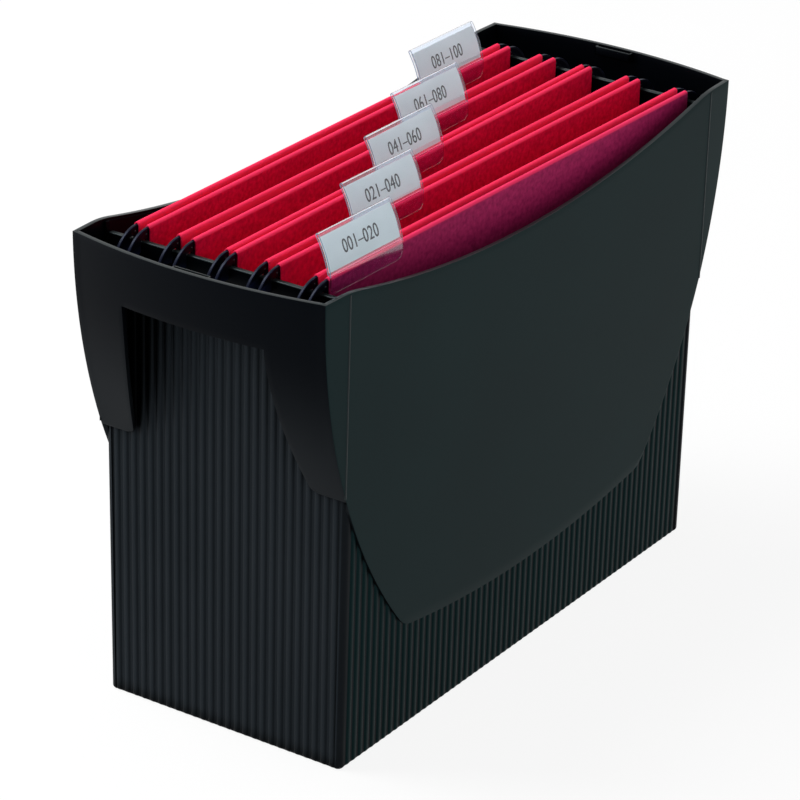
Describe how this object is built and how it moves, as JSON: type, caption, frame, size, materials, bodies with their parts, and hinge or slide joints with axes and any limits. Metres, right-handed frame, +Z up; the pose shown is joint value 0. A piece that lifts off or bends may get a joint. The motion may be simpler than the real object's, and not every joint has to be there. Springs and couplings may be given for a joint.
{
  "type": "portable file box",
  "caption": "Open plastic file box with a hand opening at each end, holding hanging card files on hooked bars with sliding index tabs.",
  "frame": {"origin": "middle of the underside, on the surface the box stands on", "axes": "+X along the box towards the right-hand grip, -Y out of the long side nearest the viewer, +Z up"},
  "size_m": [0.39, 0.15, 0.2812],
  "materials": {
    "box_plastic": "matt black moulded plastic, fine grain",
    "red_card": "red recycled card with a faint fibre",
    "hanger_plastic": "smooth black plastic with a soft sheen",
    "clear_plastic": "clear film, glossy",
    "label_paper": "off-white paper"
  },
  "bodies": {
    "box": {"box_body": "box_plastic", "left_grip": "box_plastic", "right_grip": "box_plastic"},
    "file_1": {"file_1_back_leaf": "red_card", "file_1_back_hanger": "hanger_plastic"},
    "file_1_front": {"file_1_front_leaf": "red_card", "file_1_front_hanger": "hanger_plastic"},
    "file_1_tab": {"file_1_tab": "clear_plastic"},
    "file_1_label": {"file_1_label": "label_paper"},
    "file_2": {"file_2_back_leaf": "red_card", "file_2_back_hanger": "hanger_plastic"},
    "file_2_front": {"file_2_front_leaf": "red_card", "file_2_front_hanger": "hanger_plastic"},
    "file_2_tab": {"file_2_tab": "clear_plastic"},
    "file_2_label": {"file_2_label": "label_paper"},
    "file_3": {"file_3_back_leaf": "red_card", "file_3_back_hanger": "hanger_plastic"},
    "file_3_front": {"file_3_front_leaf": "red_card", "file_3_front_hanger": "hanger_plastic"},
    "file_3_tab": {"file_3_tab": "clear_plastic"},
    "file_3_label": {"file_3_label": "label_paper"},
    "file_4": {"file_4_back_leaf": "red_card", "file_4_back_hanger": "hanger_plastic"},
    "file_4_front": {"file_4_front_leaf": "red_card", "file_4_front_hanger": "hanger_plastic"},
    "file_4_tab": {"file_4_tab": "clear_plastic"},
    "file_4_label": {"file_4_label": "label_paper"},
    "file_5": {"file_5_back_leaf": "red_card", "file_5_back_hanger": "hanger_plastic"},
    "file_5_front": {"file_5_front_leaf": "red_card", "file_5_front_hanger": "hanger_plastic"},
    "file_5_tab": {"file_5_tab": "clear_plastic"},
    "file_5_label": {"file_5_label": "label_paper"}
  },
  "joints": [
    {"name": "file_1_slide", "type": "slide", "parent": "box", "child": "file_1", "axis": [0, 1, 0], "range_m": [-0.012, 0.01]},
    {"name": "file_1_open", "type": "hinge", "parent": "file_1", "child": "file_1_front", "pos_m": [0, 0.0523, 0.0226], "axis": [1, -0.007, 0], "range_deg": [0, 2]},
    {"name": "file_1_tab_slide", "type": "slide", "parent": "file_1_front", "child": "file_1_tab", "axis": [1, -0.007, 0], "range_m": [-0.232, 0.028]},
    {"name": "file_1_label_slide", "type": "slide", "parent": "file_1_tab", "child": "file_1_label", "axis": [1, -0.007, 0], "range_m": [0, 0.056]},
    {"name": "file_2_slide", "type": "slide", "parent": "box", "child": "file_2", "axis": [0, 1, 0], "range_m": [-0.012, 0.01]},
    {"name": "file_2_open", "type": "hinge", "parent": "file_2", "child": "file_2_front", "pos_m": [0, 0.0249, 0.0226], "axis": [0.9999, -0.0122, 0], "range_deg": [0, 2]},
    {"name": "file_2_tab_slide", "type": "slide", "parent": "file_2_front", "child": "file_2_tab", "axis": [0.9999, -0.0122, 0], "range_m": [-0.174, 0.086]},
    {"name": "file_2_label_slide", "type": "slide", "parent": "file_2_tab", "child": "file_2_label", "axis": [0.9999, -0.0122, 0], "range_m": [0, 0.056]},
    {"name": "file_3_slide", "type": "slide", "parent": "box", "child": "file_3", "axis": [0, 1, 0], "range_m": [-0.012, 0.01]},
    {"name": "file_3_open", "type": "hinge", "parent": "file_3", "child": "file_3_front", "pos_m": [0, -0.0009, 0.0226], "axis": [1, -0.0052, 0], "range_deg": [0, 2]},
    {"name": "file_3_tab_slide", "type": "slide", "parent": "file_3_front", "child": "file_3_tab", "axis": [1, -0.0052, 0], "range_m": [-0.116, 0.144]},
    {"name": "file_3_label_slide", "type": "slide", "parent": "file_3_tab", "child": "file_3_label", "axis": [1, -0.0052, 0], "range_m": [0, 0.056]},
    {"name": "file_4_slide", "type": "slide", "parent": "box", "child": "file_4", "axis": [0, 1, 0], "range_m": [-0.012, 0.01]},
    {"name": "file_4_open", "type": "hinge", "parent": "file_4", "child": "file_4_front", "pos_m": [0, -0.0276, 0.0226], "axis": [0.9998, -0.0209, 0], "range_deg": [0, 2]},
    {"name": "file_4_tab_slide", "type": "slide", "parent": "file_4_front", "child": "file_4_tab", "axis": [0.9998, -0.0209, 0], "range_m": [-0.058, 0.202]},
    {"name": "file_4_label_slide", "type": "slide", "parent": "file_4_tab", "child": "file_4_label", "axis": [0.9998, -0.0209, 0], "range_m": [0, 0.056]},
    {"name": "file_5_slide", "type": "slide", "parent": "box", "child": "file_5", "axis": [0, 1, 0], "range_m": [-0.004, 0.01]},
    {"name": "file_5_open", "type": "hinge", "parent": "file_5", "child": "file_5_front", "pos_m": [0, -0.0566, 0.0226], "axis": [0.9997, -0.0244, 0], "range_deg": [0, 1.2]},
    {"name": "file_5_tab_slide", "type": "slide", "parent": "file_5_front", "child": "file_5_tab", "axis": [0.9997, -0.0244, 0], "range_m": [0, 0.26]},
    {"name": "file_5_label_slide", "type": "slide", "parent": "file_5_tab", "child": "file_5_label", "axis": [0.9997, -0.0244, 0], "range_m": [0, 0.056]}
  ]
}
